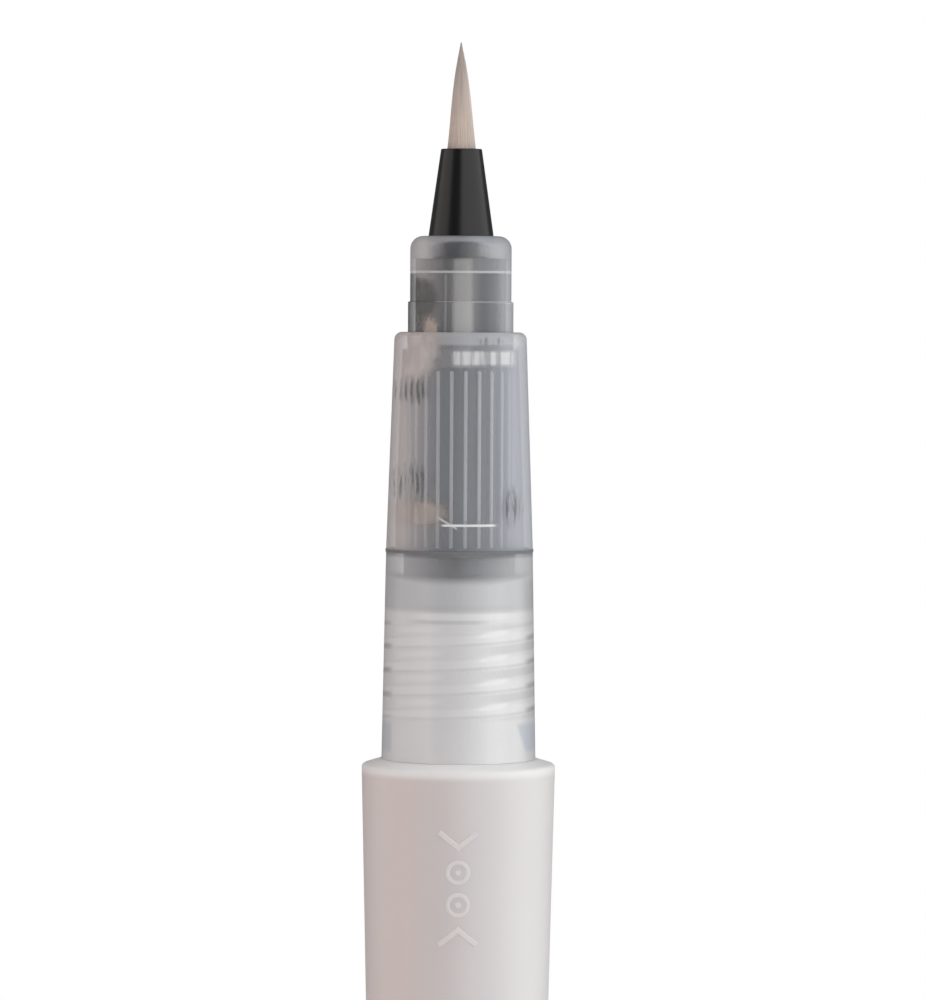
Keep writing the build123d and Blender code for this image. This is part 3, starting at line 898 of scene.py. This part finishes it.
def make_marks():
    """Two arrow heads that point at two ringed dots, where the barrel is squeezed."""
    middle_z, pitch = shoulder_z - 8.1, 2.15
    half_width, half_height, arrow_stroke, arm_steps = 1.25, 0.5, 0.24, 8
    ring_radius, ring_stroke, ring_points, dot_radius = 0.675, 0.2, 64, 0.26
    top_z, upper_z, lower_z, bottom_z = (middle_z + (1.5 - index) * pitch for index in range(4))
    relief = Relief()
    for z, up in ((top_z, -1), (bottom_z, 1)):
        left = Vector((-half_width, z - up * half_height))
        point = Vector((0, z + up * half_height))
        right = Vector((half_width, z - up * half_height))
        arrow = [left.lerp(point, i / arm_steps) for i in range(arm_steps)]
        arrow += [point.lerp(right, i / arm_steps) for i in range(arm_steps + 1)]
        relief.line(arrow, arrow_stroke)
    for z in (upper_z, lower_z):
        centre = Vector((0, z))
        turn = [2 * math.pi * i / ring_points for i in range(ring_points)]
        ring = [centre + ring_radius * Vector((math.cos(a), math.sin(a))) for a in turn]
        relief.line(ring, ring_stroke, closed=True)
        relief.disc(centre, dot_radius)
    marks = add_piece("squeeze_marks", relief.vertices, relief.faces, mark_finish)
    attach(marks, "barrel")


make_barrel()
make_marks()


# ---- Collar, ribbed collector and nozzle ------------------------------------------------------------
def make_collar():
    """The collar's turned body, and the female ridge inside it."""
    bore, low = 4.74, shoulder_z + 0.01
    foot_radius, seam_radius, spigot_radius, seat_radius, ink_hole = 5.15, 4.9, 4.26, 3.72, 1.4
    web_low_z, web_top_z, spigot_top_z = shoulder_z + 10.95, shoulder_z + 11.9, sleeve_low_z + 2.0
    web_bore = bore - 0.1
    foot_round, spigot_round = 0.03, 0.15
    outline = [
        (bore, low),
        (foot_radius, low),
        (seam_radius, seam_z),
        (spigot_radius, seam_z),
        (spigot_radius, spigot_top_z),
        (seat_radius, spigot_top_z),
        (seat_radius, web_top_z),
        (ink_hole, web_top_z),
        (ink_hole, web_low_z),
        (web_bore, web_low_z),
    ]
    rounds = {
        outline.index((foot_radius, low)): foot_round,
        outline.index((spigot_radius, spigot_top_z)): spigot_round,
    }
    finish = clear_collar()
    body = add_piece("collar_body", *lathe(rounded(outline, rounds)), finish)
    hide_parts("collar")
    root = bore - 0.01
    ridge = mirrored([(0.33, 0), (0.2, 0.3), (0.1, 0.39)])
    section = [(root, root - reach, z) for z, reach in reversed(ridge)]
    start_z, turns = thread_z + thread_pitch / 2, thread_turns - 1
    thread = add_piece("collar_thread", *screw(section, start_z, turns), finish, crease=50)
    for piece in (body, thread):
        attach(piece, "front")


def make_nozzle():
    """The black cone with its flange and its hollow stem."""
    bore, stem, flange, shaft, mouth = 1.75, 2.33, 2.85, 2.15, 1.15
    base_radius, top_radius, edge_round = 2.17, 1.36, 0.07
    gap, flange_height, bore_overrun = 0.02, 0.96, 0.6
    stem_low_z, base_z, root_top_z = low_z("nozzle"), nose_top_z + gap, nose_top_z + bore_overrun
    flange_low_z = core_top_z + gap
    flange_high_z = flange_low_z + flange_height
    outline = [
        (bore, stem_low_z),
        (stem, stem_low_z),
        (stem, flange_low_z),
        (flange, flange_low_z),
        (flange, flange_high_z),
        (shaft, flange_high_z),
        (shaft, nose_top_z),
        (base_radius, base_z),
        (top_radius, mouth_z),
        (mouth, mouth_z),
        (mouth, root_top_z),
        (bore, root_top_z),
    ]
    rounds = {outline.index((top_radius, mouth_z)): edge_round}
    piece = add_piece("nozzle_body", *lathe(rounded(outline, rounds)), satin_black())
    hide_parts("nozzle")
    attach(piece, "front")


def make_collector():
    """A tube with straight round-crested ribs."""
    bore, tube_radius, crest = 3.02, 3.2, 3.66
    rib_count, first_rib, half_width = 24, 5.9, 0.12
    foot, side_top, shoulder = tube_radius - 0.05, crest - 0.07, crest - 0.02
    shoulder_width, chamfer = 0.7 * half_width, 0.3
    low, high = collector_low_z, collector_high_z
    vertices, faces = lathe([(bore, low), (tube_radius, low), (tube_radius, high), (bore, high)])
    flank = [(foot, half_width), (side_top, half_width), (shoulder, shoulder_width)]
    section = [(reach, -offset) for reach, offset in flank] + [(crest, 0)] + flank[::-1]
    count = len(section)
    for rib in range(rib_count):
        angle = math.radians(first_rib + 360 / rib_count * rib)
        outward = Vector((math.cos(angle), math.sin(angle)))
        side = Vector((-math.sin(angle), math.cos(angle)))
        first = len(vertices)
        for z, lean in ((low, 0.0), (high - chamfer, 0.0), (high, chamfer)):
            for reach, offset in section:
                point = outward * max(foot, reach - lean) + side * offset
                vertices.append((point.x, point.y, z))
        for level in (0, 1):
            here = first + level * count
            for i in range(count):
                j = (i + 1) % count
                faces.append((here + i, here + j, here + count + j, here + count + i))
        faces.append(tuple(first + i for i in reversed(range(count))))
        faces.append(tuple(first + 2 * count + i for i in range(count)))
    piece = add_piece("ribbed_collector", vertices, faces, ribbed_plastic())
    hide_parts("ink_collector")
    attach(piece, "front")


make_collar()
make_collector()
make_nozzle()


# ---- Tuft -------------------------------------------------------------------------------------------
filament_count, filament_sides, filament_rings = 760, 5, 14
filament_radius = 0.036
tuft_length = tip_z - mouth_z
root_depth = 0.25  # how far the filaments start below the mouth


def tuft_lean(share):
    """How far the tuft's middle line leans along X at a share of its length."""
    tip_lean = -0.06
    return tip_lean * share


def tuft_profile(share):
    """Radius of the whole tuft at a share of its length above the mouth."""
    root_radius, slimming = 1.0, 0.95
    swell, swell_power = 0.2, 1.2
    least = 0.02
    straight = root_radius * (1 - share) ** slimming
    belly = swell * math.sin(math.pi * share) ** swell_power * share
    return max(least, straight + belly)


def tube(points, radii, sides, vertices, faces):
    """Add one closed tapered tube along points to the two lists."""
    first = len(vertices)
    for index, (point, radius) in enumerate(zip(points, radii)):
        for side in range(sides):
            angle = 2 * math.pi * side / sides
            vertices.append(point + Vector((math.cos(angle) * radius, math.sin(angle) * radius, 0)))
        if index:
            low = first + (index - 1) * sides
            for side in range(sides):
                after = (side + 1) % sides
                faces.append((low + side, low + after, low + sides + after, low + sides + side))
    last = first + (len(points) - 1) * sides
    faces.append(tuple(first + side for side in reversed(range(sides))))
    faces.append(tuple(last + side for side in range(sides)))


def make_tuft():
    """The visible tuft: several hundred tapered filaments round a solid heart, closing to a point."""
    draw = random.Random(7)
    vertices, faces = [], []
    golden = math.pi * (3 - math.sqrt(5))
    root_z, run = mouth_z - root_depth - 0.01, tuft_length + root_depth
    heart_share, heart_fill, heart_rings, heart_sides = 0.93, 0.9, 30, 48
    edge_shortening, shortening_power, scatter = 0.42, 1.4, 0.05
    filament_fill, most_wave, wave_rate = 0.965, 0.035, 5
    taper, taper_power = 0.8, 1.6
    shares = [heart_share * i / heart_rings for i in range(heart_rings + 1)]
    heart = [Vector((tuft_lean(s), 0, root_z + s * run)) for s in shares]
    tube(heart, [heart_fill * tuft_profile(s) for s in shares], heart_sides, vertices, faces)
    for index in range(filament_count):
        reach = math.sqrt((index + 0.5) / filament_count)
        angle = index * golden
        shortening = edge_shortening * reach * draw.random() ** shortening_power
        length_share = 1 - shortening - scatter * draw.random()
        wave, phase = draw.uniform(0, most_wave), draw.uniform(0, 2 * math.pi)
        points, radii = [], []
        for ring in range(filament_rings + 1):
            along = ring / filament_rings
            share = along * length_share
            spread = tuft_profile(share) * reach * filament_fill
            sway = wave * math.sin(phase + wave_rate * share) * share
            x = math.cos(angle) * spread + sway + tuft_lean(share)
            y = math.sin(angle) * spread + sway * math.cos(phase)
            points.append(Vector((x, y, root_z + share * run)))
            radii.append(filament_radius * (1 - taper * along ** taper_power))
        tube(points, radii, filament_sides, vertices, faces)
    return add_piece("tuft_filaments", vertices, faces, bristle_finish, crease=60)


tuft = make_tuft()
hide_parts("brush_tuft")
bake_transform(tuft)


# ---- Stage ------------------------------------------------------------------------------------------
def make_floor():
    """A plain pale disc under the pen."""
    radius, rim_points = 560, 96
    turn = [2 * math.pi * i / rim_points for i in range(rim_points)]
    ring = [(radius * math.cos(a), radius * math.sin(a), 0) for a in turn]
    finish = plain(
        "pale_floor", (0.88, 0.88, 0.88), (0.92, 0.92, 0.92), grain=(0.01, 0.01, 0.01), roughness=0.8
    )
    add_piece("floor", ring, [tuple(range(rim_points))], finish)


def softbox(name, azimuth, distance, width, height, centre_z, radiance, colour, down=False):
    """A large soft light that faces the pen; azimuth 0 is in front and 90 on the right."""
    light = bpy.data.lights.new(name, "AREA")
    light.shape = "RECTANGLE"
    light.size = width
    light.size_y = height
    light.energy = radiance * math.pi * width * height
    light.color = colour
    lamp = bpy.data.objects.new(name, light)
    turn = math.radians(azimuth)
    lamp.location = (distance * math.sin(turn), -distance * math.cos(turn), centre_z)
    aim = Vector((0, 0, -1)) if down else Vector((0, 0, centre_z)) - lamp.location
    lamp.rotation_euler = aim.to_track_quat("-Z", "Y").to_euler()
    lamp.visible_camera = False
    bpy.context.scene.collection.objects.link(lamp)


def make_world():
    """White where the camera sees it, and a gentle fill for everything else."""
    fill_colour, fill_strength = (0.97, 0.98, 1.0), 0.14
    world = bpy.data.worlds.new("studio")
    bpy.context.scene.world = world
    world.use_nodes = True
    tree = world.node_tree
    shown = tree.nodes["Background"]
    shown.inputs["Color"].default_value = (*WHITE, 1)
    fill = tree.nodes.new("ShaderNodeBackground")
    fill.inputs["Color"].default_value = (*fill_colour, 1)
    fill.inputs["Strength"].default_value = fill_strength
    path = tree.nodes.new("ShaderNodeLightPath")
    blend = tree.nodes.new("ShaderNodeMixShader")
    tree.links.new(path.outputs["Is Camera Ray"], blend.inputs["Fac"])
    tree.links.new(fill.outputs[0], blend.inputs[1])
    tree.links.new(shown.outputs[0], blend.inputs[2])
    tree.links.new(blend.outputs[0], tree.nodes["World Output"].inputs["Surface"])


def make_camera():
    """A long lens in front of the pen's head, a little above it and tilted down."""
    side_step, distance, rise, aim_rise = 0.22 * MM, 367 * MM, 30.6 * MM, 17.3 * MM
    roll = math.radians(0.3)
    data = bpy.data.cameras.new("camera")
    data.lens = 198
    data.sensor_width = 36
    data.clip_start, data.clip_end = 0.01, 10
    camera = bpy.data.objects.new("camera", data)
    camera.location = (side_step, -distance, shoulder_z * MM + rise)
    aim = Vector((side_step, 0, shoulder_z * MM + aim_rise)) - camera.location
    turn = aim.to_track_quat("-Z", "Y").to_matrix().to_4x4()
    camera.rotation_euler = (turn @ Matrix.Rotation(roll, 4, "Z")).to_euler()
    bpy.context.scene.collection.objects.link(camera)
    bpy.context.scene.camera = camera


make_floor()
make_world()
make_camera()
softbox(
    "right_softbox", azimuth=58, distance=0.6, width=2.05, height=1.2, centre_z=0.2,
    radiance=1.22, colour=WHITE,
)
softbox(
    "left_softbox", azimuth=-82, distance=0.6, width=0.8, height=1.2, centre_z=0.2,
    radiance=0.92, colour=(1.0, 0.9, 0.88),
)
softbox(
    "top_softbox", azimuth=0, distance=0.05, width=0.9, height=0.9, centre_z=0.9,
    radiance=0.7, colour=WHITE, down=True,
)

scene = bpy.context.scene
scene.view_settings.view_transform = "Standard"
scene.cycles.transparent_max_bounces = 48
